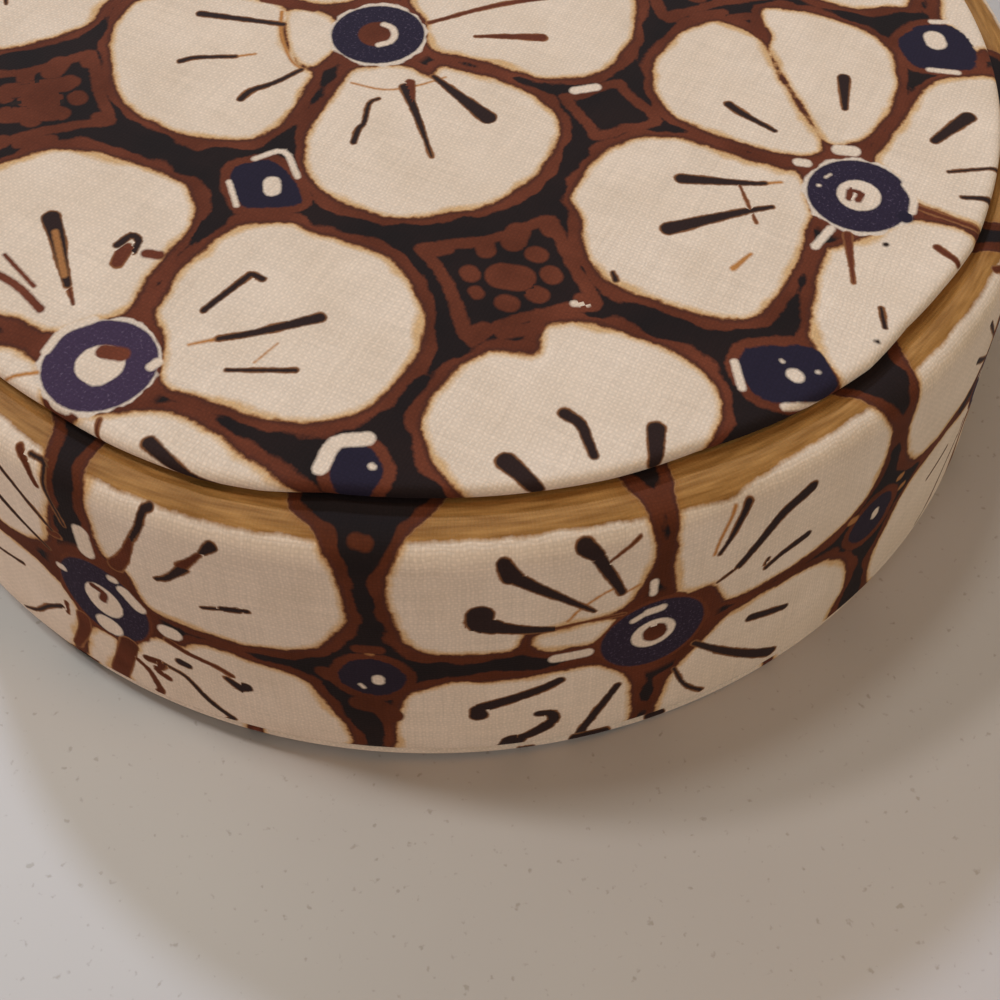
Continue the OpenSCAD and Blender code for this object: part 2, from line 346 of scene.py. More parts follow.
def printed_cotton(name, turn, coat=False):
    """Wax-resist printed plain cotton, pasted down. It gives the eye a near-black, brown and cream print
    with bleeding edges over fine threads. turn is the threads' angle on the flat cloth."""
    material = bpy.data.materials.new(name)
    material.use_nodes = True
    tree = material.node_tree
    tree.nodes.clear()
    warp, weft, cloth = cloth_axes(tree, turn)

    # The wax's edges wander slowly, and step from thread to thread
    wander = add(tree, "TexNoise", cloth, named={"Scale": 0.35, "Detail": 2.0})
    wander = add(tree, "Math", wander, 0.9, -0.45, operation="MULTIPLY_ADD")
    thready = add(tree, "TexNoise", cloth, named={"Scale": 1.9, "Detail": 2.0})
    thready = add(tree, "Math", thready, 0.42, -0.21, operation="MULTIPLY_ADD")
    rough_edge = add(tree, "Math", wander, thready, operation="ADD")
    stain = add(tree, "TexNoise", cloth, named={"Scale": 0.12, "Detail": 3.0})

    cream = add(tree, "MixRGB", add(tree, "MapRange", stain, 0.3, 0.75), linear("#d4bead"), linear("#cbb4a1"))
    ground = add(tree, "MixRGB", add(tree, "MapRange", stain, 0.35, 0.7), linear("#150e0e"), linear("#1e1312"))
    browns = ("#47200f", "#5c2c1a") if coat else ("#512617", "#663322")
    brown = add(tree, "MixRGB", add(tree, "MapRange", stain, 0.35, 0.7), linear(browns[0]), linear(browns[1]))
    amber = linear("#96643c")
    night = linear("#211822" if coat else "#1f1928")

    # The ground, the brown outlines and the cream petals, whose edges are dark where the two dyes meet
    fields = {}
    for layer in ("petal", "gem", "rosette"):
        field = add(tree, "Attribute", attribute_name=layer)
        fields[layer] = add(tree, "Math", field.outputs["Fac"], rough_edge, operation="ADD")
    seep = add(tree, "MapRange", add(tree, "TexNoise", cloth, named={"Scale": 0.16}), 0.5, 0.72, 0.0, 0.6)
    fields["seep"] = add(tree, "Math", fields["petal"], seep, operation="ADD")
    ragged = add(tree, "TexNoise", cloth, named={"Scale": 0.22, "Detail": 1.0})
    ragged = add(tree, "Math", ragged, 3.0, -1.5, operation="MULTIPLY_ADD")
    fields["brown"] = add(tree, "Math", fields["petal"], ragged, operation="ADD")
    face = ground
    for layer, outside, inside, colour in (
        ("brown", 1.5, 1.2, brown), ("petal", 0.8, 0.6, brown), ("gem", 1.2, 0.9, brown),
        ("rosette", 0.15, -0.15, brown), ("rosette", -1.2, -1.5, ground),
        ("petal", 0.6, 0.2, linear("#47241a")), ("petal", 0.18, -0.1, amber),
        ("petal", 0.04, -0.25, linear("#c39c72")), ("seep", -0.1, -0.75, cream), ("gem", 0.12, -0.12, night),
    ):
        face = add(tree, "MixRGB", add(tree, "MapRange", fields[layer], outside, inside), face, colour)

    # Rings round the flowers' middles, with a cream halo where the wax has crept
    ring_place = add(tree, "Attribute", attribute_name="ring")
    ring = add(tree, "SeparateXYZ", ring_place.outputs["Vector"])
    radius = add(tree, "CombineXYZ", ring.outputs["X"], ring.outputs["Y"])
    radius = add(tree, "VectorMath", radius, operation="LENGTH").outputs["Value"]
    radius = add(tree, "Math", thready, 0.4, radius, operation="MULTIPLY_ADD")
    crept = add(tree, "Math", wander, 2.4, radius, operation="MULTIPLY_ADD")
    near_ring = add(tree, "MapRange", radius, 7.4, 6.6)
    near_ring = add(tree, "Math", near_ring, add(tree, "MapRange", fields["petal"], 0.2, 0.5), operation="MULTIPLY")
    face = add(tree, "MixRGB", near_ring, face, brown)
    grain = add(tree, "MapRange", add(tree, "TexNoise", cloth, named={"Scale": 3.2}), 0.58, 0.75, 0.0, 0.35)
    faded = add(tree, "MixRGB", ring_place.outputs["Alpha"], night, linear("#3a2b40"))
    grainy = add(tree, "MixRGB", grain, faded, linear("#77667a"))
    hole = add(tree, "MixRGB", add(tree, "MapRange", ring.outputs["Z"], 1.6, 1.4), cream, brown)
    for field, outside, inside, colour in (
        (crept, 5.85, 5.6, linear("#5a2c18" if coat else "#c9b5a6")), (radius, 5.45, 5.2, grainy), (radius, 2.4, 2.15, hole),
    ):
        face = add(tree, "MixRGB", add(tree, "MapRange", field, outside, inside), face, colour)

    # Amber veins, drawn strokes and single marks
    for layer in ("vein", "stroke", "mark"):
        line = add(tree, "Attribute", attribute_name=layer)
        place = add(tree, "SeparateXYZ", line.outputs["Vector"])
        past_end = add(tree, "Math", place.outputs["Y"], 0.0, operation="MINIMUM")
        gap = add(tree, "CombineXYZ", place.outputs["X"], past_end)
        gap = add(tree, "VectorMath", gap, operation="LENGTH").outputs["Value"]
        gap = add(tree, "Math", gap, place.outputs["Z"], operation="SUBTRACT")
        gap = add(tree, "Math", thready, 0.45, gap, operation="MULTIPLY_ADD")
        ink = linear("#a8713f")
        if layer == "stroke":
            seeped = add(tree, "Math", wander, -0.7, gap, operation="MULTIPLY_ADD")
            face = add(tree, "MixRGB", add(tree, "MapRange", seeped, 0.22, 0.0), face, linear("#8a5a38"))
            ink = add(tree, "Math", line.outputs["Alpha"], 1.5, operation="GREATER_THAN")
            ink = add(tree, "MixRGB", ink, linear("#271917"), brown)
        if layer == "mark":
            ink = linear("#241815")
            for kind, colour in ((1.5, brown), (2.5, cream), (3.5, night), (4.5, amber), (5.5, linear("#b2803f"))):
                later = add(tree, "Math", line.outputs["Alpha"], kind, operation="GREATER_THAN")
                ink = add(tree, "MixRGB", later, ink, colour)
        face = add(tree, "MixRGB", add(tree, "MapRange", gap, 0.15, -0.15), face, ink)

    face, bump = weave(tree, face, warp, weft)
    gloss = 0.85
    if coat:
        # An old gold-brown varnish on the cream along the rim, brushed round it and a little shiny
        edge = add(tree, "Attribute", attribute_name="coat").outputs["Fac"]
        edge = add(tree, "Math", rough_edge, 0.8, edge, operation="MULTIPLY_ADD")
        paleness = add(tree, "MapRange", add(tree, "RGBToBW", face), 0.08, 0.24)
        mask = add(tree, "Math", add(tree, "MapRange", edge, 0.25, -0.25), paleness, operation="MULTIPLY")
        streaks = add(tree, "CombineXYZ", add(tree, "Math", warp, 0.10, operation="MULTIPLY"), weft)
        streaks = add(tree, "TexNoise", streaks, named={"Scale": 1.8, "Detail": 4.0})
        gold = add(tree, "MixRGB", add(tree, "MapRange", streaks, 0.35, 0.75), linear("#7f592c"), linear("#a67d49"))
        gold = add(tree, "MixRGB", 0.55, gold, add(tree, "MixRGB", 1.0, gold, face, blend_type="MULTIPLY"))
        gold = add(tree, "MixRGB", 1.0, gold, (1.22, 1.22, 1.22, 1.0), blend_type="MULTIPLY")
        face = add(tree, "MixRGB", mask, face, gold)
        gloss = add(tree, "MapRange", mask, 0.0, 1.0, 0.85, 0.6)
    surface = add(tree, "BsdfPrincipled", named={
        "Base Color": face, "Roughness": gloss, "Normal": bump, "Specular IOR Level": 0.1,
    })
    add(tree, "OutputMaterial", surface)
    return material


# The lattice of flowers on the panel's cloth, in mm from the panel's middle
along_a = np.array([49.6, -28.4])
along_b = np.array([25.2, 47.8])
flower_b = np.array([-6.7, 0.0])

# Each petal: its outline, and the lines drawn in it as ink, first width, last width and points
petals = {
    "b_left": (
        [(-34.5, 7.5), (-36.4, 4), (-37, 0), (-36.2, -5), (-34.7, -10), (-32.8, -12.5), (-29.7, -15),
         (-26.5, -16.7), (-22.8, -17.4), (-20.1, -17.4), (-17, -15), (-15.5, -11.5), (-14.1, -7), (-15.3, -5.5),
         (-17.4, -1), (-17.8, 2), (-17, 3.5), (-18.5, 6.3), (-22, 7.5), (-28, 8.5)],
        [("dark", 1.0, 0.6, [(-27.3, 4.6), (-22, 3.3), (-17.6, 2.2)]),
         ("dark", 0.7, 0.5, [(-28.8, -4.1), (-27, -3.5), (-22.7, -3.5)]),
         ("amber", 0.4, 0.4, [(-22.7, -3.5), (-20.5, -3.1)]),
         ("dark", 0.8, 0.5, [(-21.6, -10.9), (-20.5, -9.5), (-18, -8.2), (-15.2, -6.1)])]),
    "b_bottom": (
        [(-9, -6.2), (-10.6, -8.5), (-11.8, -11.5), (-13.4, -15), (-14.3, -18.5), (-14.1, -22), (-13.1, -24.5),
         (-10.8, -27), (-7.5, -29), (-4, -29.9), (0, -29.5), (4.5, -28.5), (9, -25), (11, -22), (12.4, -19),
         (12.8, -16.5), (12.2, -14.2), (10.5, -11.7), (8, -9.6), (5.5, -8.1), (2.5, -6.9), (0.3, -6.2),
         (-1, -7.6), (-4, -5.9)],
        [("dark", 0.7, 0.4, [(-9.2, -18.4), (-8.7, -16.3), (-8.1, -15.2), (-7.6, -12.2), (-6.6, -11.4)]),
         ("amber", 0.3, 0.3, [(-9.6, -8.6), (-6, -9.9), (-2.5, -9.4), (0.8, -8)]),
         ("brown", 1.1, 0.8, [(-3.1, -8.8), (-3, -12)]),
         ("dark", 0.3, 1.1, [(-1, -21), (-2.3, -15), (-3.7, -9.5)]),
         ("dark", 1.9, 0.5, [(5.2, -15), (2, -11), (-0.5, -7.8)])]),
    "b_right": (
        [(-2.6, 7), (-2.6, 5), (-1.2, 2), (-0.7, -2.8), (4, -4.8), (7, -6.3), (10, -7.8), (13, -8.7), (17.5, -8),
         (19.5, -6.3), (21.5, -3.3), (22.8, 0), (23.5, 5), (22.5, 10), (19.5, 13.5), (14, 15.5), (7, 14), (1, 10)],
        [("brown", 0.8, 0.5, [(13, 6.3), (6.5, 4.8), (-0.8, 1.9)]),
         ("brown", 1.3, 0.4, [(12, -1.3), (9, -1), (4.5, -0.8)])]),
    "a_top": (
        [(-46, -20.5), (-42, -18.6), (-39, -18.4), (-36, -19), (-33, -20.3), (-30, -21.8), (-27.5, -23.3),
         (-26, -25), (-25.2, -27.5), (-25.1, -30), (-26, -32), (-28.3, -36), (-29.2, -38.5), (-30.4, -41.5),
         (-33.5, -43), (-37, -43.7), (-40.1, -42), (-42, -41.3), (-47, -39), (-51, -34), (-51, -27),
         (-49, -22.5)],
        [("dark", 1.9, 0.7, [(-39.3, -28.5), (-38.2, -31.5), (-37.2, -35), (-36.3, -37.8)]),
         ("brown", 0.5, 0.3, [(-36.5, -37), (-35.4, -40.3)]),
         ("dark", 0.9, 0.7, [(-32.2, -32.6), (-31, -31.4), (-30.2, -32.1), (-30.5, -33.6)]),
         ("brown", 1.7, 1.3, [(-31.4, -33.2), (-31.9, -35)])]),
    "a_right": (
        [(-27.5, -42.3), (-26.9, -40), (-25.4, -36), (-23.1, -33), (-21.2, -31), (-19, -30.3), (-15, -30.5),
         (-12.5, -32), (-10, -33), (-6.2, -35), (-4.5, -37), (-3.2, -39.5), (-2.3, -42.5), (-2.3, -45.5), (-3, -48),
         (-4.5, -50.5), (-6.5, -53), (-8.5, -54.5), (-11, -55.2), (-14, -55.2), (-17, -54.4), (-20, -53.2),
         (-23, -51.7), (-26.1, -50.1), (-26.3, -45)],
        [("dark", 0.7, 0.7, [(-17.7, -37.8), (-18.7, -37.2), (-19.5, -37.8), (-23, -41.6)]),
         ("dark", 1.2, 0.6, [(-12, -43), (-18, -44.6), (-21.3, -45.2)]),
         ("amber", 0.5, 0.3, [(-21.3, -45.2), (-24, -45.8)]),
         ("dark", 0.5, 0.4, [(-14, -49.3), (-20.3, -49)]),
         ("amber", 0.2, 0.2, [(-17.8, -48.2), (-15.8, -46)])]),
    "a_bottom": (
        [(-34, -54.2), (-29, -53.3), (-25, -53.7), (-21.5, -55.5), (-18, -58.5), (-15.5, -60.5), (-12.5, -64),
         (-12, -68), (-15, -74), (-22, -79), (-31, -80), (-38, -76), (-41, -69), (-39, -60)],
        [("dark", 1.2, 0.9, [(-26.3, -56.5), (-23, -59.5), (-20, -61.5)]),
         ("brown", 0.4, 0.3, [(-31, -54), (-31.5, -56.5)])]),
    "c_left": (
        [(13, -28), (14, -26), (15.5, -23), (17.5, -20.7), (20, -19.3), (22, -18.7), (25, -19), (28, -20.2),
         (32, -22.5), (35.5, -24.2), (37.3, -25), (37.4, -30.8), (36.3, -33.5), (35.2, -36.5), (33.5, -39.5),
         (31.8, -42), (30, -44), (27.8, -44.8), (25, -44.4), (22.5, -43.2), (20, -42), (17.5, -40.7), (15.5, -38.8),
         (14.2, -36.5), (13.8, -33.5), (14, -30.5)],
        [("dark", 1.4, 0.5, [(24.9, -25.3), (31.5, -26.2), (33.5, -26.3)]),
         ("amber", 0.5, 0.4, [(33.5, -26.3), (35.2, -26.2)]),
         ("dark", 1.7, 0.5, [(22.6, -32.5), (30, -30.5), (33.6, -29.8)]),
         ("amber", 0.7, 0.4, [(28.2, -38.2), (30.3, -36.3)]),
         ("brown", 0.2, 0.2, [(30.8, -26.5), (31.6, -32)]),
         ("dark", 0.6, 0.4, [(16.5, -39.3), (16.3, -38.3)])]),
    "c_top_left": (
        [(24, -11.5), (23.9, -8.5), (25, -5), (28, -1.2), (31, 0.8), (33, 1), (35, 0), (36.6, -1.7), (37.5, -3.8),
         (38.1, -9), (38.9, -12.4), (39.7, -15.9), (40.6, -19.4), (40.4, -21.5), (39, -22.1), (36.5, -21.9),
         (32, -20), (28.5, -17.8), (25.5, -15.5)],
        [("dark", 1.0, 0.5, [(31.7, -13.7), (33, -15.3), (36, -18.2)])]),
    "c_top_right": (
        [(38.6, 3.3), (41, 3.2), (44, 2.3), (47, 0.8), (49.5, -1), (51, -3), (51.8, -5.5), (51.6, -9), (50.6, -12.5),
         (49, -15.5), (47, -18.3), (45, -20), (43, -20.7), (41.8, -20.6), (40.8, -18.9), (39.35, -12), (38, -5),
         (38.6, -2), (38, 0.5)],
        [("dark", 1.4, 0.6, [(45.4, -9.6), (44.4, -14.8)])]),
    "c_right": (
        [(45.7, -23.3), (47.5, -21), (50, -17.5), (52.5, -14), (54.5, -11.5), (57, -10), (60, -9.7), (66, -10.5),
         (71, -14), (72, -22), (69, -30), (61, -34.5), (54.5, -33.4), (51, -31.3), (48.7, -29.8), (47, -26)],
        [("dark", 1.6, 1.0, [(57.6, -16.6), (53, -20.3)]),
         ("dark", 0.4, 0.4, [(59, -24.5), (53.2, -25.2)]),
         ("dark", 0.8, 0.5, [(57, -29.2), (53.5, -29)]),
         ("brown", 0.6, 0.5, [(48.5, -30.3), (53.5, -33.3)])]),
    "c_bottom": (
        [(45.2, -32.7), (48, -32.3), (50.5, -32.9), (52.5, -34), (54.5, -38), (55, -44), (51, -51), (44, -54.5),
         (37.5, -52.5), (36.3, -52.9), (35, -50.8), (34.3, -48.5), (34.4, -46), (36, -40.5), (38, -36.3),
         (38.8, -35.8), (41.8, -34.7), (43.5, -33.8)],
        [("dark", 0.5, 0.4, [(41.3, -46.2), (41.6, -43.9)]),
         ("brown", 0.8, 0.6, [(49, -36), (50.5, -38)]),
         ("brown", 0.9, 0.3, [(40.5, -34), (39.7, -40.5)])]),
    "f_top": (
        [(0, -62.7), (-1.7, -60), (-2.5, -57), (-2.5, -55.3), (-1.2, -52.5), (0.6, -50), (2.5, -48.5), (4.3, -47.9),
         (8, -48.3), (8.6, -47.5), (9, -45.2), (11, -44.6), (13.5, -44.7), (16, -45.8), (19, -47.4), (21.5, -49),
         (23.3, -51), (24.3, -53.5), (24.3, -56), (23.2, -58.5), (21, -64), (19, -70), (12, -71), (4, -68)],
        [("dark", 1.9, 1.3, [(4.7, -60.3), (7.3, -63.3)]),
         ("dark", 1.2, 0.8, [(10.2, -55.3), (11.5, -56.5), (12, -58.3), (12.4, -60)]),
         ("dark", 1.7, 1.2, [(18.2, -57.4), (17.8, -61)])]),
    "a_left": (
        [(-36.6, -50.8), (-37.2, -48.4), (-38.4, -46.7), (-39.3, -45.9), (-41.4, -45.3), (-46, -44), (-52, -46),
         (-54, -52), (-50, -58), (-43, -58), (-38, -54)],
        [("amber", 0.5, 0.3, [(-37.5, -48.5), (-41, -49)])]),
    "b_small": (
        [(-16.9, 4.8), (-17.3, 1.3), (-16.3, -3.6), (-14.5, -5.6), (-13, -4.7), (-11.4, -2), (-11.4, 2), (-12.6, 4),
         (-14.5, 5)],
        [("amber", 0.5, 0.3, [(-17.9, 4.6), (-17.8, 1), (-16.6, -4), (-15.2, -6)])]),
}

# Unseen petals repeat the seen ones at other flowers of the lattice, with a hand's small differences
d_flower = flower_b - along_a
e_flower = flower_b + along_b
copies = (
    ("b_bottom", -along_a), ("a_right", along_b - along_a), ("c_top_left", -2 * along_a), ("c_top_right", -2 * along_a),
    ("b_left", along_b), ("b_bottom", along_b), ("b_right", along_b), ("c_top_left", along_b - along_a),
    ("c_top_right", along_b - along_a), ("c_left", along_b), ("c_bottom", along_b),
    ("c_top_left", -along_a), ("c_top_right", -along_a), ("c_bottom", 2 * along_b - 2 * along_a),
    ("c_right", 2 * along_b - 2 * along_a), ("b_left", 2 * along_b), ("b_right", -along_a - along_b),
    ("c_left", -2 * along_a),
)
hand = np.random.default_rng(7)
panel_print = {"petal": [], "gem": [], "rosette": [], "ring": [], "stroke": [], "vein": [], "mark": []}
for name, shift in [(name, np.zeros(2)) for name in petals] + list(copies):
    outline, lines = petals[name]
    wobble = 0.35 if shift.any() else 0.0
    panel_print["petal"].append(np.array(outline) + shift + hand.normal(0, wobble, (len(outline), 2)))
    for ink, first, last, points in lines:
        drawn = (ink, first, last, np.array(points) + shift + hand.normal(0, wobble, 2))
        panel_print["vein" if ink == "amber" else "stroke"].append(drawn)

# Rings: place, two sizes relative to 5.35 mm, whether the hole is brown or cream, and how faded
for place, kind, faded in (((-6.7, 0), 1, 0.1), ((-31.9, -47.8), 2, 1.0), ((42.9, -28.4), 2, 0.2),
                           ((17.7, -76.2), 1, 0.5), (d_flower, 1, 0.6), (e_flower, 2, 0.3),
                           (e_flower + along_a, 1, 0.5), (d_flower + along_b, 2, 0.2),
                           (flower_b - along_a - along_b, 1, 0.7), (flower_b + 2 * along_b, 1, 0.4)):
    panel_print["ring"].append((*place, 1.0, 1.0, kind, faded))

# Squares between the flowers: indigo ones, and rosettes in a brown frame
gem_shapes = (
    [(-21.8, -22.2), (-19.5, -21.1), (-17.5, -21), (-15.3, -24), (-14.5, -27.5), (-19.5, -28), (-21, -26.5)],
    [(26.8, -49.5), (29, -48.2), (34, -48.6), (35.2, -51), (34.5, -54), (29, -54.5), (27, -52.5)],
    [(-10.3, -58.5), (-8.5, -57.7), (-6.5, -59), (-6.3, -62), (-9, -65), (-10.5, -62)],
    [(54.8, -2), (56.5, -0.3), (60, -0.6), (61.3, -3), (61, -7), (58.5, -8.2), (55.3, -7)],
)
rosette_shapes = (
    [(-3, -34.1), (-0.3, -33.3), (3.6, -33), (5.9, -32.2), (9.5, -30.4), (11.2, -30.3), (11.8, -31.9), (12.3, -33.8),
     (13.6, -38.5), (14.8, -41.2), (14.6, -42.9), (12.8, -43.2), (8.5, -44.1), (4.9, -45.5), (2.7, -47), (2, -47.1),
     (1, -45.7), (0.6, -43.8), (-0.4, -39.6), (-1.6, -36.9)],
    [(13.3, -11.5), (15.5, -10.9), (17, -10), (18.8, -9.3), (20.5, -9.3), (21.3, -10.9), (22.4, -12.8), (23.6, -14.6),
     (24, -16.5), (22, -17.6), (20, -18), (18, -18.7), (16, -18.8), (15.4, -17), (14.5, -15), (13.6, -13.3)],
)
# The rosette's frame is thicker in the corners, and a ring of blots stands round the middle one
rosette_blots = (
    (3.4, (5.5, -38.3), (7.1, -38.7)), (2, (4.1, -34.9), (4, -34.2)), (2.6, (6.9, -33.8), (7.4, -32.4)),
    (2.1, (8.9, -35.5), (9.2, -35.7)), (2.1, (10.2, -38.2), (10.4, -38.6)), (2.1, (8.6, -40.8), (8.9, -41)),
    (2.1, (5.6, -41.8), (6, -42)), (1.4, (2.8, -40.2), (3, -40.6)), (1.9, (2.3, -37.7), (2.5, -38.1)),
    (1.7, (1.9, -45.6), (3.4, -45)), (1.6, (5.2, -45.6), (8.4, -45.1)), (1.8, (10.4, -31.7), (10.7, -32.4)),
    (1.5, (12.9, -41.6), (13.2, -42)), (1.2, (-1.2, -35), (0.4, -34.6)),
)
panel_print["gem"] = [np.array(g, float) for g in gem_shapes]
panel_print["rosette"] = [np.array(g, float) for g in rosette_shapes]
for shift in (along_b, -along_a, along_b - along_a, 2 * along_b - along_a, along_a + along_b, -along_b - along_a):
    panel_print["gem"].append(np.array(gem_shapes[0]) + shift + hand.normal(0, 0.3, (7, 2)))
    panel_print["rosette"].append(np.array(rosette_shapes[0]) + shift + hand.normal(0, 0.2, 2))
    panel_print["rosette"].append(np.array(rosette_shapes[1]) + shift + hand.normal(0, 0.2, 2))
for shift in (np.zeros(2), along_b, -along_a, along_b - along_a, 2 * along_b - along_a, along_a + along_b):
    for size, *dot in rosette_blots:
        panel_print["mark"].append(("brown", size, size, np.array(dot) + shift))

# Single marks as ink, width and points, drawn over all the rest
for ink, width, points in (
    ("cream", 0.8, [(-6, 1.8), (-5.1, 1.1), (-4.8, -0.2), (-5.3, -1.4), (-6.6, -2)]),
    ("brown", 1.7, [(-31.7, -46.3), (-30.1, -46.7)]), ("cream", 2.6, [(-32.6, -48.3), (-31.9, -49)]),
    ("amber", 0.7, [(-38.6, -30.5), (-37.4, -34.5), (-36.8, -36.5)]), ("brown", 0.35, [(-38.4, -30.6), (-37.4, -34.4)]), ("night", 1.6, [(46.9, -31.6), (47, -31.8)]),
    ("cream", 1.0, [(-27.2, -48.3), (-26.7, -47.8)]), ("cream", 0.9, [(-37.1, -46), (-35.8, -43.6), (-33.2, -42.3)]),
    ("brown", 0.8, [(41.8, -28.8), (42.2, -27.8), (43.1, -28.2), (42.7, -29.1)]), ("cream", 0.4, [(39, -26.8), (39.1, -26.8)]),
    ("cream", 0.8, [(48.1, -27), (48.5, -29), (47.9, -31)]), ("cream", 0.3, [(40, -25.6), (40.6, -25.2)]),
    ("cream", 1.8, [(-17.5, -24.3), (-17.4, -25.4)]), ("cream", 0.7, [(-19.5, -20.6), (-16.5, -19.6), (-14.9, -23.5)]),
    ("cream", 0.6, [(-21.9, -24), (-20.9, -27.5)]), ("cream", 0.8, [(26.4, -50), (26.6, -53)]),
    ("cream", 0.7, [(30, -55.1), (34.3, -54.6)]), ("cream", 1.4, [(31.6, -51.6), (31.8, -51.8)]),
    ("cream", 0.4, [(30.8, -50), (30.9, -50.1)]), ("cream", 0.4, [(33.8, -51.3), (33.9, -51.3)]),
    ("cream", 1.5, [(-11.4, -60.3), (-10.2, -57.7), (-7.4, -57.3)]), ("cream", 0.7, [(-7, -60.3), (-6.9, -60.4)]),
    ("cream", 2.4, [(57.5, -2.6), (57.5, -3.6)]), ("cream", 0.8, [(58, 0.4), (61, 0), (62, -2)]),
    ("cream", 0.8, [(55.5, -8.4), (58.5, -9)]), ("cream", 1.2, [(15, -10.8), (17.4, -10.3)]),
    ("cream", 1.6, [(42.3, -21.4), (43.8, -21.7)]), ("cream", 1.2, [(37.6, -23.2), (38.4, -23.4)]),
    ("cream", 0.9, [(36.9, -35.5), (39, -33.1)]), ("cream", 0.8, [(12.8, -41.9), (13, -42.1)]),
    ("dark", 0.6, [(44, -35.5), (44.1, -35.5)]), ("dark", 0.5, [(40, -47.8), (40.1, -47.8)]),
    ("dark", 0.5, [(39, -52.2), (39.1, -52.2)]), ("brown", 1.2, [(-28, -34.2), (-29.2, -33.9)]),
    ("brown", 1.4, [(34.5, 1.7), (37.2, 1.8), (37.3, -1.5)]), ("brown", 0.9, [(6, -32.8), (7, -32.9)]),
    ("brown", 0.9, [(-44, -35.5), (-41, -37.8), (-38.4, -40.8)]), ("brown", 0.5, [(-43, -33.5), (-39.5, -37.8)]),
    ("brown", 1.5, [(-20, 7.2), (-17, 6.2), (-14.2, 5.2)]), ("brown", 2.6, [(-47, -8.5), (-41, -7.6)]),
    ("brown", 2.6, [(-46.5, -12.6), (-41.5, -12.4)]), ("dark", 0.8, [(-46, -10.6), (-43.5, -10.2), (-41, -10.6)]),
    ("dark", 0.6, [(-44.2, -7), (-43.5, -8.6)]), ("cream", 0.8, [(12.2, -42.2), (13.4, -42.3)]),
):
    panel_print["mark"].append((ink, width, width, points))

panel_radius = 63.3
panel_low = 36.7
panel_high = 38.4
panel_rim = (panel_high - panel_low) / 2
panel_thick = 0.3
panel_turned_in = 10.0
panel_crown = 0.22


def disc_section(radius, low, high, thick, turned_in, fine):
    """Section of a cloth over a disc: the whole face, its round rim and the margin turned in below."""
    rim = (high - low) / 2
    centre = (radius - rim, low + rim)
    return chain(
        run((0, high), (centre[0], high), fine),
        arc(centre, rim, 90, -90, 8),
        run((centre[0], low), (radius - turned_in, low), 2.5),
        run((radius - turned_in, low + thick), (centre[0], low + thick), 2.5),
        arc(centre, rim - thick, -90, 90, 6),
        run((centre[0], high - thick), (0, high - thick), 6.0),
    )


def follow(points, section):
    """For each vertex the number of its point in the section, and its path length along the section."""
    section = np.array(section)
    path = np.concatenate([[0], np.cumsum(np.hypot(*np.diff(section, axis=0).T))])
    radius, _ = polar(points)
    number = np.zeros(len(points), int)
    for begin in range(0, len(points), 4000):
        rows = slice(begin, begin + 4000)
        gap = (radius[rows, None] - section[:, 0]) ** 2 + (points[rows, 2, None] - section[:, 1]) ** 2
        number[rows] = gap.argmin(1)
    return number, path[number]


panel_section = disc_section(panel_radius, panel_low, panel_high, panel_thick, panel_turned_in, 0.5)
panel = lathe("panel_covering", panel_section, 540)
bare = places(panel)
radius, azimuth = polar(bare)
number, path = follow(bare, panel_section)
flat = np.stack([path * np.cos(np.radians(azimuth)), path * np.sin(np.radians(azimuth))], 1)

# The cut edge isn't a perfect circle: how far the rim lies outside or inside the round board
rim_angles = (-179, -140, -125, -118, -110, -105, -100, -95, -77, -70, -62, -52, -46, -40, -34, -28, 0, 40, 90, 140)
rim_offsets = (.4, 0, .04, .63, 1.1, .72, -.35, -.3, 0, -.33, .33, .9, .14, .42, .96, .7, .5, .3, .6, .3)
offset = np.interp(azimuth, rim_angles, rim_offsets, period=360) * np.clip((radius - 58) / 6, 0, 1) ** 2
outer_face = path < panel_radius - 0.5 + 3 * panel_rim
moved = bare.copy()
moved[:, :2] *= np.where(outer_face, 1 + offset / np.maximum(radius, 1), 1)[:, None]
moved[:, 2] += np.where(bare[:, 2] > panel_high - 0.01, panel_crown * (1 - (radius / panel_radius) ** 2), 0)
move_to(panel, moved)
print_on(panel, flat, 0, panel_print)
panel.data.materials.append(printed_cotton("printed_cotton_panel", -30))
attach(panel, "lid")
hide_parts("lid_panel_cloth")


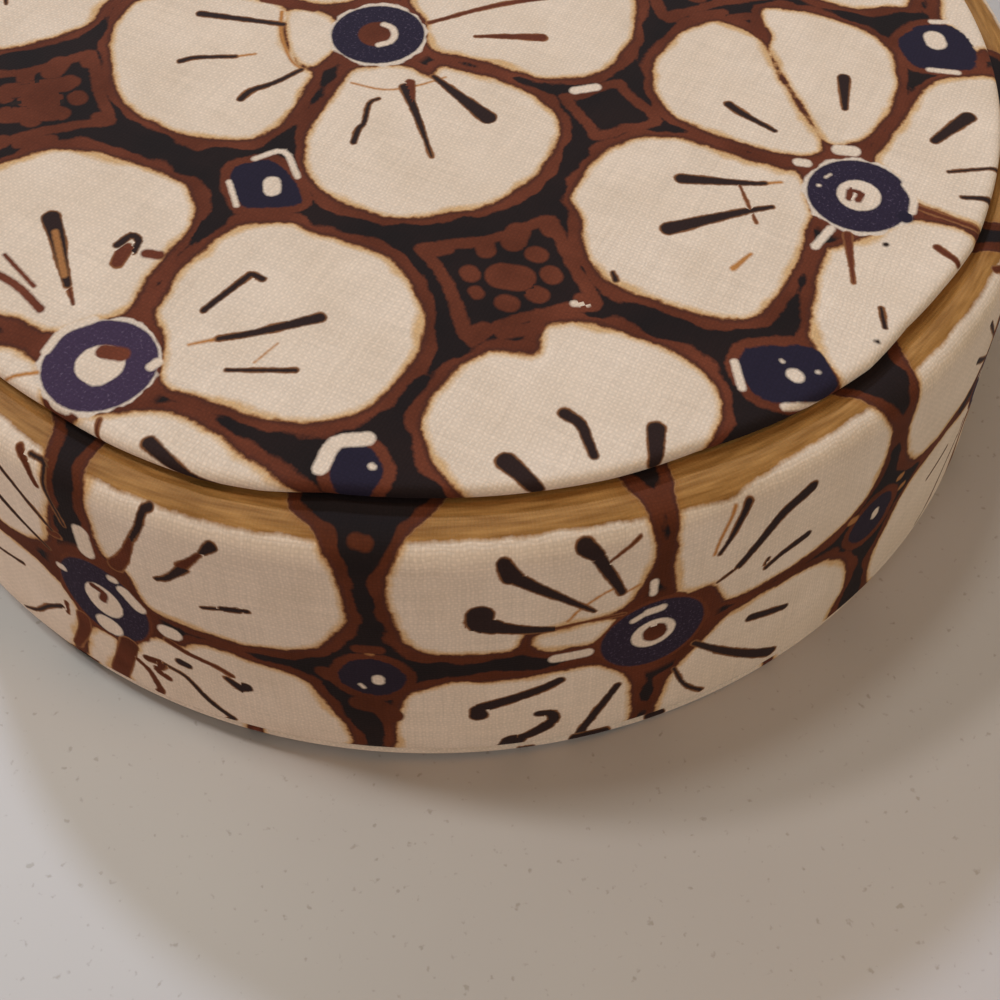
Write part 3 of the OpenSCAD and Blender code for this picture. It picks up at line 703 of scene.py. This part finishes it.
# Wall covering
# A strip of the same printed cotton, pasted round the lid's wall. It goes over the rim under the panel,
# and round the foot into the lid. Its ends lap at the back. The rim has an old coat of gold varnish.
# Two flowers in turn, G and H, each with the petals and lines near it. Places are in mm on the cloth:
# round the wall from the front, and up the wall from its foot.
wall_petals = {
    "g": [
        [(-33.5, 26.7), (-34.6, 28), (-34.9, 35), (-35.3, 36.8), (-36, 39.5), (-35, 42.5), (-26, 44), (-17.5, 42.5),
         (-16, 39.5), (-14.8, 38.5), (-13, 37), (-11.5, 35), (-10.7, 32.5), (-10.4, 29.5), (-10.5, 26.5),
         (-12.5, 22.5), (-14.5, 21), (-17, 20), (-21, 19.4), (-28.5, 20), (-31, 21.5), (-32, 25.5)],
        [(-28.2, 15.3), (-26, 16.9), (-23.5, 17.2), (-20, 16.3), (-17, 15.7), (-15, 14.6), (-13.4, 11.3),
         (-11.7, 7.5), (-11.4, 5), (-11.6, 2.5), (-14, -4), (-24, -6), (-33, -4), (-36.5, 3), (-35.4, 8.5),
         (-34, 11.5), (-33, 13.4), (-31.6, 14.9), (-30, 15.4)],
        [(-40.2, 10), (-39, 11.3), (-36.9, 11.5), (-36.2, 10), (-37.7, 6.5), (-39, 3), (-39.5, -3), (-43, -5),
         (-42.5, 2), (-41.3, 6)],
        [(-40.8, 28), (-39.6, 32), (-40, 36), (-41.5, 39), (-46, 42.5), (-54, 43), (-60, 39), (-62, 33), (-61, 26),
         (-57, 23), (-51, 22), (-46, 22.2), (-42, 24.5)],
        [(-41, 13.5), (-43, 17.3), (-46, 19), (-51, 19.6), (-57, 18.5), (-60.5, 14.5), (-61.5, 8), (-60, 1),
         (-54, -4), (-45, -3), (-44, 3.5), (-41.6, 9.5)],
    ],
    "h": [
        [(6.8, 22.4), (7.4, 23.4), (9.5, 23.8), (14.8, 23.7), (13.2, 20.6), (11, 20.2), (7.8, 20.4)],
        [(-1, 40.5), (-3, 38.7), (-4.8, 36.5), (-6.3, 32.5), (-6.2, 29.5), (-5.5, 25.5), (-5, 23.5), (-3.5, 22),
         (-1, 21.3), (3, 21.2), (5.2, 21.7), (6, 23.4), (7, 24.3), (12, 24.5), (15.3, 25), (17.3, 28), (18.2, 32),
         (17.9, 36), (16.8, 40), (15, 43), (6, 44.5), (1, 43)],
        [(-7.2, 0), (-6.9, 3), (-6.4, 9), (-5.8, 12), (-5, 14), (-3, 15.3), (-0.5, 16.2), (4, 16), (9, 16.2),
         (13, 16.3), (15, 14.7), (16.7, 12.5), (17.4, 8), (17.3, 2), (14, -5), (4, -7), (-5, -5)],
        [(20.6, 36), (20.5, 32), (20.6, 27), (22, 24.3), (25, 24.2), (26.3, 21), (27.3, 20.1), (30, 20), (35, 20.5),
         (39, 21.2), (42, 22.5), (44.3, 24.5), (45.6, 27.5), (46, 30.5), (45.5, 33.5), (44, 36.5), (42.5, 39.5),
         (39, 43), (30, 44.5), (23, 43), (21.5, 39)],
        [(25.2, 14.7), (26.3, 16.3), (28.5, 17.6), (32, 18.3), (36, 18.2), (39.5, 17.5), (42, 15.7), (43.8, 13.3),
         (44.6, 10.5), (44.4, 7.5), (43.5, 5.5), (42, 0), (36, -5), (27, -5), (21.5, -1), (20.6, 5), (22.2, 11)],
    ],
}
wall_lines = {
    "g": [
        ("dark", 0.6, 0.4, [(-45.5, 33), (-40.5, 27)]), ("dark", 0.8, 0.4, [(-47.5, 27.5), (-42, 23)]),
        ("dark", 0.5, 0.4, [(-41.5, 36.3), (-39.7, 36), (-39.5, 33), (-38.5, 29)]),
        ("brown", 1.7, 0.6, [(-33.2, 26.3), (-31.9, 28.2), (-30.5, 31.5)]),
        ("dark", 0.6, 0.9, [(-30.5, 31.5), (-29.2, 34), (-28.8, 35.7), (-28.3, 36.2)]),
        ("dark", 1.3, 0.4, [(-22.1, 34.1), (-23.4, 32.6)]), ("brown", 0.5, 1.1, [(-23.4, 32.6), (-25.6, 30)]),
        ("dark", 1.1, 0.5, [(-25.4, 29.8), (-27.4, 27.5), (-28.7, 26.7)]),
        ("dark", 0.6, 0.4, [(-19.7, 25.6), (-21.5, 25.2), (-24.4, 24.2)]), ("dark", 0.8, 0.8, [(-20.6, 25.4), (-22.2, 25)]),
        ("brown", 0.8, 0.5, [(-29.6, 15.6), (-27.5, 14.5), (-24.5, 13.6), (-23, 12.7)]),
        ("dark", 0.7, 1.5, [(-23.6, 11.9), (-22.4, 10.9), (-21.7, 11.2)]), ("dark", 1.2, 1.0, [(-28.7, 12.2), (-27.9, 12)]),
        ("brown", 1.1, 0.9, [(-32.9, 10.2), (-31.2, 10.3), (-31.9, 8.6), (-30.8, 7.7)]),
        ("dark", 0.4, 0.9, [(-30.8, 10.5), (-28.5, 9.5), (-26.6, 6.5), (-24.2, 3.6)]),
        ("dark", 0.8, 0.6, [(-24.2, 3.4), (-26, 1), (-30, -0.5)]),
        ("brown", 0.6, 1.0, [(-34.3, 9), (-33, 7.5), (-32.4, 4.5), (-32.7, 3.4)]),
        ("brown", 2.2, 2.2, [(-34.8, 11.5), (-36.4, 7), (-37.6, 3.8)]),
        ("brown", 1.8, 1.0, [(-40.5, 12.2), (-41, 9.5), (-43.3, 4.5)]), ("brown", 0.6, 0.4, [(-42.5, 13.2), (-42.9, 11)]),
        ("dark", 0.6, 0.4, [(-43.5, 11.7), (-46, 9.5), (-48.5, 6.5), (-51.5, 4)]),
        ("dark", 0.5, 0.4, [(-48, 15.5), (-52.5, 14.5)]), ("brown", 1.2, 0.8, [(-40.6, 26.6), (-39.8, 26.6)]),
        ("brown", 0.8, 0.6, [(-42.9, 36.3), (-41.4, 35), (-40.6, 33.4)]),
    ],
    "h": [
        ("dark", 2.6, 2.2, [(2, 27.7), (2, 26.4), (3.2, 25.7)]), ("dark", 1.9, 0.8, [(2.8, 25.8), (6, 24.7), (8.8, 24.1)]),
        ("dark", 1.4, 2.0, [(4.2, 34.5), (4.9, 32.9)]), ("dark", 1.6, 0.4, [(4.9, 32.9), (7, 31), (9.5, 28.8), (12.7, 25.8)]),
        ("brown", 0.35, 0.35, [(8.8, 24.1), (12, 24.3), (15.8, 24.1)]),
        ("amber", 0.35, 0.35, [(10.2, 25), (11.5, 26.7), (14.2, 28.5), (15.4, 27.6), (17, 28.2)]),
        ("dark", 1.8, 1.5, [(11.6, 35.1), (12.6, 34)]), ("dark", 1.4, 0.8, [(12.6, 34), (13.7, 31.5), (14.8, 29), (15.3, 27.7)]),
        ("brown", 0.3, 0.3, [(13.8, 32.7), (16.7, 35)]), ("dark", 1.9, 1.5, [(1.7, 9.9), (1.6, 11)]),
        ("dark", 1.6, 1.1, [(2, 11.3), (5.5, 12.6), (8, 13.6), (9.7, 14.6)]),
        ("dark", 1.0, 1.4, [(7.7, 8.9), (8.9, 8.6), (9.3, 7.4), (8.6, 6.3)]),
        ("dark", 1.6, 1.5, [(8.6, 6.3), (7.2, 5.1), (6.3, 4.6)]), ("dark", 2.6, 2.2, [(5.2, 3.9), (4.9, 2.3), (6.6, 0.5)]),
        ("dark", 0.9, 1.2, [(15.8, 11.2), (14.5, 8.5), (13.5, 6.5), (12.3, 3), (13.5, 0.5)]),
        ("dark", 0.9, 0.5, [(27.6, 34.8), (26.3, 31), (25.2, 28.8)]),
        ("amber", 0.5, 0.4, [(26.2, 34.9), (25, 31), (24.6, 29)]),
        ("dark", 1.6, 0.9, [(35, 32.5), (32, 30.8), (30, 28.3), (27.7, 25.5)]), ("dark", 0.4, 0.3, [(27.7, 25.5), (25.5, 24.2)]),
        ("dark", 1.1, 0.6, [(35.9, 24.9), (33, 24), (31.2, 22.9)]), ("dark", 0.4, 0.3, [(31.3, 24.4), (31, 23.6)]),
        ("dark", 1.6, 0.7, [(34.5, 4.8), (31, 7.5), (27, 11.3), (24, 14.5)]),
        ("dark", 1.2, 0.9, [(30.6, 14.6), (35.2, 13)]), ("dark", 0.6, 0.4, [(25.8, 4), (23.5, 7), (22, 11)]),
    ],
}
wall_marks = {
    "g": [
        ("brown", 1.0, [(-37.3, 20.2), (-36.2, 19.6), (-36.6, 18.2)]), ("cream", 1.6, [(-33.3, 21.9), (-32, 19.8)]),
        ("cream", 1.2, [(-34.3, 23.3), (-34.2, 23.3)]), ("cream", 1.2, [(-41.2, 20.6), (-41.1, 20.6)]),
        ("cream", 3.0, [(-37, 13.5), (-36.7, 13.5)]), ("cream", 1.9, [(-36.5, 29.3), (-36.5, 26.4)]),
        ("cream", 2.2, [(-29.3, 17.3), (-28.8, 17.3)]), ("cream", 1.2, [(-7.9, 16.8), (-7.9, 16.3)]),
        ("cream", 0.4, [(-9.7, 15.5), (-9.4, 15)]), ("amber", 0.8, [(-8.5, 21.3), (-8.4, 21.3)]),
        ("brown", 1.8, [(-13.2, 17.1), (-12.7, 16.5)]), ("brown", 1.4, [(-9.5, 22), (-7.6, 22)]),
        ("brown", 1.4, [(-9, 36.7), (-8, 36.5)]), ("brown", 2.6, [(-9.8, 12), (-8, 11.4), (-7, 10)]),
    ],
    "h": [
        ("brown", 2.6, [(19.2, 19.4), (19.3, 19)]), ("cream", 0.6, [(19, 20.4), (19.1, 18.4)]),
        ("cream", 0.8, [(16.8, 22.4), (17.8, 23)]), ("cream", 1.1, [(18.2, 23.2), (19.6, 23.3)]), ("cream", 0.8, [(18.5, 28), (18.5, 26.2)]),
        ("cream", 1.4, [(9.2, 18.7), (12.3, 18.7)]), ("cream", 1.1, [(47, 19.6), (47, 19)]),
        ("amber", 1.1, [(42.8, 21.5), (43.3, 21.4)]), ("amber", 1.0, [(50.1, 22.5), (50.5, 22.4)]),
        ("amber", 0.9, [(51.2, 20), (51.6, 20)]),
    ],
}
wall_print = {"petal": [], "gem": [], "rosette": [], "ring": [], "stroke": [], "vein": [], "mark": []}
pair_step = 111.4
diamond = np.array([(-3.3, 0), (-2.2, 2.4), (0, 3.4), (2.3, 2.3), (3.3, 0), (2.2, -2.4), (0, -3.3), (-2.4, -2.2)])
for turn in range(-3, 4):
    wobble = 0.0 if turn == 0 else 0.4
    for name in ("g", "h"):
        shift = np.array([turn * pair_step, 0.0])
        if abs(turn * pair_step + (-36 if name == "g" else 19)) > 270:
            continue
        for outline in wall_petals[name]:
            wall_print["petal"].append(np.array(outline) + shift + hand.normal(0, wobble, (len(outline), 2)))
        for ink, first, last, points in wall_lines[name]:
            drawn = (ink, first, last, np.array(points) + shift + hand.normal(0, wobble, 2))
            wall_print["vein" if ink == "amber" else "stroke"].append(drawn)
        for ink, width, points in wall_marks[name]:
            wall_print["mark"].append((ink, width, width, np.array(points) + shift + hand.normal(0, wobble / 2, 2)))
        ring_place = (-36.5, 18.2) if name == "g" else (19.1, 19.2)
        ring_sizes = (0.97, 1.2) if name == "g" else (1.02, 1.02)
        wall_print["ring"].append((ring_place[0] + shift[0], ring_place[1], *ring_sizes, 2, 0.15))
        gem_place = (-8.5, 17) if name == "g" else (46.5, 19)
        wall_print["gem"].append(diamond + gem_place + shift)

foot_centre = np.array([70.5, 3.8])
foot_round = 2.0
shoulder_centre = np.array([66.2, 34.4])
shoulder_round = 2.3
lid_low = 1.8
ledge_high = 36.7
cloth_thick = 0.3
ledge_end = 56.2
turned_in_high = 13.8
fold_depth = 2.34
wall_tilt = 7.44
wall_swell = 0.3
lap_wide = 5.5
lap_thick = 0.25

wall_out = np.array([math.cos(math.radians(wall_tilt)), math.sin(math.radians(wall_tilt))])


def wall_point(depth, z):
    """The point at height z of the face that lies at this depth inside the lid's outer wall."""
    return ((foot_centre @ wall_out + foot_round - depth - z * wall_out[1]) / wall_out[0], z)


wall_section = chain(
    run(wall_point(fold_depth, turned_in_high), wall_point(fold_depth, lid_low + cloth_thick), 3.0),
    arc(foot_centre, foot_round - cloth_thick, -90, wall_tilt, 6),
    arc(shoulder_centre, shoulder_round - cloth_thick, wall_tilt, 90, 6),
    run((shoulder_centre[0], ledge_high - cloth_thick), (ledge_end, ledge_high - cloth_thick), 3.0),
    run((ledge_end, ledge_high), (63.5, ledge_high), 2.5),
    run((63.5, ledge_high), (shoulder_centre[0], ledge_high), 0.45),
    arc(shoulder_centre, shoulder_round, 90, wall_tilt, 8),
    run(shoulder_centre + shoulder_round * wall_out, foot_centre + foot_round * wall_out, 0.5),
    arc(foot_centre, foot_round, wall_tilt, -90, 8),
    run((foot_centre[0], lid_low), wall_point(fold_depth + cloth_thick, lid_low), 1.0),
    run(wall_point(fold_depth + cloth_thick, lid_low), wall_point(fold_depth + cloth_thick, turned_in_high), 3.0),
    [wall_point(fold_depth, turned_in_high)],
)
wall = lathe("wall_covering", wall_section, 640)
bare = places(wall)
radius, azimuth = polar(bare)
number, path = follow(bare, wall_section)
lowest = min(range(len(wall_section)), key=lambda i: math.dist(wall_section[i], (foot_centre[0], lid_low)))
steps = np.hypot(*np.diff(np.array(wall_section), axis=0).T)
up_wall = steps[:lowest].sum() - path
from_front = foot_centre[0] * np.radians((azimuth + 270.0001) % 360 - 180)
girth = 2 * math.pi * foot_centre[0]
flat = np.stack([from_front, up_wall], 1)

# The pasted cloth stands a little proud of the board, unevenly, and doubles where its ends lap
outer_face = (up_wall > -1) & (up_wall < 46)
swell = np.interp(bare[:, 2], (2, 6, 18, 26, 34, 36.6), (0, 1, 0.7, 1.3, 1, 0)) * wall_swell
swell = swell * (1 + 0.35 * np.sin(np.radians(3 * azimuth + 40)) + 0.2 * np.sin(np.radians(7 * azimuth)))
lap_place = girth / 2 - from_front
lap = np.clip((lap_wide - lap_place) / 2.5, 0, 1) * (lap_place > 0) * lap_thick
outward = np.where(outer_face, swell + np.where(bare[:, 2] > 2.5, lap, 0), 0)
moved = bare.copy()
moved[:, :2] *= (1 + outward / radius)[:, None]

# The rim's crest stands a little above the gutter beside the panel
gutter = np.interp(radius, (63.6, 64.4, 65.6, 66.6), (-0.22, -0.2, 0.05, 0.0))
moved[:, 2] += np.where(outer_face & (bare[:, 2] > 36.5) & (radius > 63), gutter, 0)
move_to(wall, moved)
print_on(wall, flat, girth, wall_print)

# The varnish's lower edge, as a height on the cloth at places round the wall
coat_places = (-221, -150, -90, -60, -46, -40, -30, -20, -3, 10, 15, 22, 26, 30, 35, 50, 60, 100, 160, 221)
coat_edges = (36.8, 37.2, 36.4, 37.4, 37.7, 37, 36.5, 36.2, 36.7, 36.7, 36.5, 35.9, 35.7, 36.6, 37, 37, 37, 36.3, 37, 36.8)
coat = wall.data.attributes.new("coat", "FLOAT", "CORNER")
vertex = np.zeros(len(wall.data.loops), int)
wall.data.loops.foreach_get("vertex_index", vertex)
height = np.interp(from_front, coat_places, coat_edges) - up_wall
coat.data.foreach_set("value", height[vertex].astype(np.float32))
wall.data.materials.append(printed_cotton("printed_cotton_wall", 0, coat=True))
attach(wall, "lid")
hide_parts("lid_wall_cloth")


# Plate covering
# A disc of the same cotton over the thin base plate, its margin turned in below and held by the paper.
plate_radius = 72.2
plate_low = 0.2
plate_high = 1.8
plate_turned_in = 12.0

plate_section = disc_section(plate_radius, plate_low, plate_high, cloth_thick, plate_turned_in, 3.0)
plate = lathe("plate_covering", plate_section, 480)
bare = places(plate)
radius, azimuth = polar(bare)
number, path = follow(bare, plate_section)
flat = np.stack([path * np.cos(np.radians(azimuth)), path * np.sin(np.radians(azimuth))], 1)

# The plate's cloth shows as a cream edge under the wall, with a few dark bars of the print
plate_print = {layer: list(items) for layer, items in panel_print.items() if layer != "stroke"}
plate_print["petal"] = []
for first, last in ((-107, -62), (-60, -12), (-8, 36), (41, 84), (90, 133), (138, 178), (-176, -128), (-124, -109)):
    around = np.radians(np.linspace(first, last, 12))
    edge = np.stack([np.cos(around), np.sin(around)], 1)
    plate_print["petal"].append(np.vstack([edge * 77, edge[::-1] * 60]))
plate_print["stroke"] = []
for azimuth_from, azimuth_to, reach, width in ((-80.3, -77.6, 72.7, 1.3), (-73.5, -72.3, 72.4, 1.0), (-85.1, -84, 72.8, 0.5),
                                               (-31, -29, 72.5, 1.1), (12, 15, 72.6, 1.2), (60, 62, 72.4, 1.0), (150, 153, 72.6, 1.2)):
    bar = np.radians([azimuth_from, azimuth_to])
    bar = np.stack([np.cos(bar), np.sin(bar)], 1) * reach
    plate_print["stroke"].append(("dark", width, width, bar))
print_on(plate, flat, 0, plate_print)
plate.data.materials.append(printed_cotton("printed_cotton_plate", 25))
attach(plate, "base")
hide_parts("base_cloth")


# Neck covering
# A strip of plain cream cotton, pasted over the pasteboard ring that the lid slides down over.
def plain_cotton(name, colour, other):
    """Plain unprinted cotton lining: gives the eye a warm cream with fine threads and faint stains."""
    material = bpy.data.materials.new(name)
    material.use_nodes = True
    tree = material.node_tree
    tree.nodes.clear()
    warp, weft, cloth = cloth_axes(tree, 0)
    stain = add(tree, "TexNoise", cloth, named={"Scale": 0.06, "Detail": 4.0})
    face = add(tree, "MixRGB", add(tree, "MapRange", stain, 0.3, 0.7), linear(colour), linear(other))
    face, bump = weave(tree, face, warp, weft)
    surface = add(tree, "BsdfPrincipled", named={
        "Base Color": face, "Roughness": 0.85, "Normal": bump, "Specular IOR Level": 0.2,
    })
    add(tree, "OutputMaterial", surface)
    return material


def cloth_map(piece, round_size, section):
    """Gives a piece its own flat coordinates in mm: round the box and along its section."""
    points = places(piece)
    _, azimuth = polar(points)
    _, path = follow(points, section)
    loops = piece.data.loops
    vertex = np.zeros(len(loops), int)
    loops.foreach_get("vertex_index", vertex)
    first = np.zeros(len(piece.data.polygons), int)
    count = np.zeros(len(piece.data.polygons), int)
    piece.data.polygons.foreach_get("loop_start", first)
    piece.data.polygons.foreach_get("loop_total", count)
    if round_size:
        corners = np.stack([np.radians(azimuth) * round_size, path], 1)[vertex]
        girth = 2 * math.pi * round_size
        start = corners[np.repeat(first, count), 0]
        corners[:, 0] += girth * np.round((start - corners[:, 0]) / girth)
    else:
        corners = (np.stack([np.cos(np.radians(azimuth)), np.sin(np.radians(azimuth))], 1) * path[:, None])[vertex]
    piece.data.uv_layers.new(name="cloth")
    piece.data.uv_layers["cloth"].data.foreach_set("uv", corners.astype(np.float32).ravel())


neck_outer_depth = 3.56
neck_inner_depth = 5.70
neck_high = 32.0
neck_edge = 0.55

neck_section = chain(
    run(wall_point(neck_outer_depth, lid_low), wall_point(neck_outer_depth, neck_high - neck_edge), 1.5),
    [(wall_point(neck_outer_depth + 0.16, neck_high - 0.16))],
    run(wall_point(neck_outer_depth + neck_edge, neck_high), wall_point(neck_inner_depth - neck_edge, neck_high), 0.6),
    [(wall_point(neck_inner_depth - 0.16, neck_high - 0.16))],
    run(wall_point(neck_inner_depth, neck_high - neck_edge), wall_point(neck_inner_depth, lid_low), 1.5),
    run(wall_point(neck_inner_depth - cloth_thick, lid_low), wall_point(neck_inner_depth - cloth_thick, neck_high - cloth_thick), 5.0),
    run(wall_point(neck_outer_depth + cloth_thick, neck_high - cloth_thick), wall_point(neck_outer_depth + cloth_thick, lid_low), 5.0),
    [wall_point(neck_outer_depth, lid_low)],
)
neck = lathe("neck_covering", neck_section, 256)
cloth_map(neck, 68.0, neck_section)
neck_cotton = plain_cotton("plain_cotton_lining", "#d8cbb4", "#cbbb9f")
neck.data.materials.append(neck_cotton)
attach(neck, "base")
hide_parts("neck_cloth")


# Floor pad
# A card disc with a layer of wadding, covered with the same plain cotton and dropped into the neck.
pad_low = 1.8
pad_edge_high = 5.0
pad_crown = 1.2
pad_round = 1.2
pad_gap = 0.3

pad_radius = wall_point(neck_inner_depth, pad_edge_high)[0] - pad_gap
pad_face = [(r, pad_edge_high + pad_crown * (1 - (r / (pad_radius - pad_round)) ** 2))
            for r in np.linspace(0, pad_radius - pad_round, 60)]
pad_section = chain(
    pad_face,
    arc((pad_radius - pad_round, pad_edge_high - pad_round), pad_round, 90, 0, 6),
    run((pad_radius, pad_edge_high - pad_round), (pad_radius, pad_low + 0.4), 0.8),
    arc((pad_radius - 0.4, pad_low + 0.4), 0.4, 0, -90, 3),
    run((pad_radius - 0.4, pad_low), (0, pad_low), 6.0),
)
pad = lathe("floor_pad", pad_section, 240)
cloth_map(pad, 0, pad_section)
moved = places(pad)
radius, azimuth = polar(moved)
puffy = 0.18 * np.sin(np.radians(azimuth * 5) + radius / 9) + 0.12 * np.sin(radius / 4.3 + np.radians(azimuth * 3))
moved[:, 2] += np.where(moved[:, 2] > 4.9, puffy * np.clip(1 - (radius / pad_radius) ** 6, 0, 1) * np.clip(radius / 12, 0, 1), 0)
move_to(pad, moved)
pad.data.materials.append(neck_cotton)
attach(pad, "base")
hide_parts("floor_wadding", "floor_cloth")


# Lid wall lining
# A strip of plain cotton inside the lid's wall: it covers the turned-in edge of the wall's cloth.
lining_inner_depth = 2.96
lining_low = 5.8
lining_step = 14.4
lid_card_high = 34.4

liner_section = chain(
    run(wall_point(lining_inner_depth, lining_low), wall_point(lining_inner_depth, lining_step), 1.5),
    run(wall_point(lining_inner_depth - 0.32, lining_step + 0.5), wall_point(lining_inner_depth - 0.32, lid_card_high), 2.0),
    run(wall_point(fold_depth, lid_card_high), wall_point(fold_depth, turned_in_high), 4.0),
    run(wall_point(lining_inner_depth - cloth_thick, turned_in_high), wall_point(lining_inner_depth - cloth_thick, lining_low), 4.0),
    [wall_point(lining_inner_depth, lining_low)],
)
liner = lathe("lid_lining", liner_section, 256)
cloth_map(liner, 68.0, liner_section)
liner.data.materials.append(neck_cotton)
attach(liner, "lid")
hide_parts("lid_wall_lining")


# Lid top lining
# A thin card disc, covered with plain cotton and pasted inside the top of the lid.
card_radius = 65.55
card_low = 33.0

# The section is that of the panel's cloth turned upside down, as the whole face looks down
top_liner_section = [(r, card_low + lid_card_high - z)
                     for r, z in disc_section(card_radius, card_low, lid_card_high, cloth_thick, 8.0, 3.0)]
top_liner = lathe("lid_top_lining", top_liner_section, 240)
cloth_map(top_liner, 0, top_liner_section)
top_liner.data.materials.append(neck_cotton)
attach(top_liner, "lid")
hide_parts("lid_lining_cloth")


# Boards
# The bodies of the lid, neck, plate and panel: bookbinder's grey pasteboard, cut and glued up.
greyboard = bpy.data.materials.new("grey_pasteboard")
greyboard.use_nodes = True
tree = greyboard.node_tree
tree.nodes.clear()
place = add(tree, "TexCoord")
pulp = add(tree, "TexNoise", place.outputs["Object"], named={"Scale": 900.0, "Detail": 5.0})
layers = add(tree, "Mapping", place.outputs["Object"], named={"Scale": (60, 60, 4000)})
layers = add(tree, "TexNoise", layers, named={"Scale": 1.0, "Detail": 3.0})
board = add(tree, "MixRGB", add(tree, "MapRange", pulp, 0.35, 0.65), linear("#857a6b"), linear("#9c907f"))
board = add(tree, "MixRGB", add(tree, "MapRange", layers, 0.5, 0.7), board, linear("#6f6557"))
surface = add(tree, "BsdfPrincipled", named={
    "Base Color": board, "Roughness": 0.9, "Normal": add(tree, "Bump", 0.3, 0.1 * MM, named={"Height": pulp}),
})
add(tree, "OutputMaterial", surface)
for name in ("base_board", "neck_ring", "floor_card", "lid_wall_board", "lid_top_board", "lid_lining_card"):
    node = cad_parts[name]
    node.data.materials.clear()
    node.data.materials.append(greyboard)

# The panel's card is a little smaller than in the drawing, as the photograph shows its rounded edge further in
panel_card_radius = 62.3
panel_card_low = 37.0
panel_card_high = 38.08
card_section = chain(
    run((0, panel_card_high), (panel_card_radius - 0.54, panel_card_high), 6.0),
    arc((panel_card_radius - 0.54, panel_card_low + 0.54), 0.54, 90, -90, 6),
    run((panel_card_radius - 0.54, panel_card_low), (0, panel_card_low), 6.0),
)
panel_card = lathe("panel_card", card_section, 200)
panel_card.data.materials.append(greyboard)
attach(panel_card, "lid")
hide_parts("lid_panel_board")


# Underside paper
# A disc of thin tan paper, glued under the plate over the cloth's turned-in margin.
tan_paper = bpy.data.materials.new("tan_paper")
tan_paper.use_nodes = True
tree = tan_paper.node_tree
tree.nodes.clear()
place = add(tree, "TexCoord")
fibres = add(tree, "TexNoise", place.outputs["Object"], named={"Scale": 500.0, "Detail": 6.0})
marks = add(tree, "TexNoise", place.outputs["Object"], named={"Scale": 45.0, "Detail": 4.0})
sheet_colour = add(tree, "MixRGB", add(tree, "MapRange", fibres, 0.3, 0.7), linear("#b4a381"), linear("#c2b291"))
sheet_colour = add(tree, "MixRGB", add(tree, "MapRange", marks, 0.55, 0.75), sheet_colour, linear("#a28f6c"))
surface = add(tree, "BsdfPrincipled", named={
    "Base Color": sheet_colour, "Roughness": 0.8, "Normal": add(tree, "Bump", 0.2, 0.05 * MM, named={"Height": fibres}),
})
add(tree, "OutputMaterial", surface)
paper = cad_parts["base_paper"]
paper.data.materials.clear()
paper.data.materials.append(tan_paper)
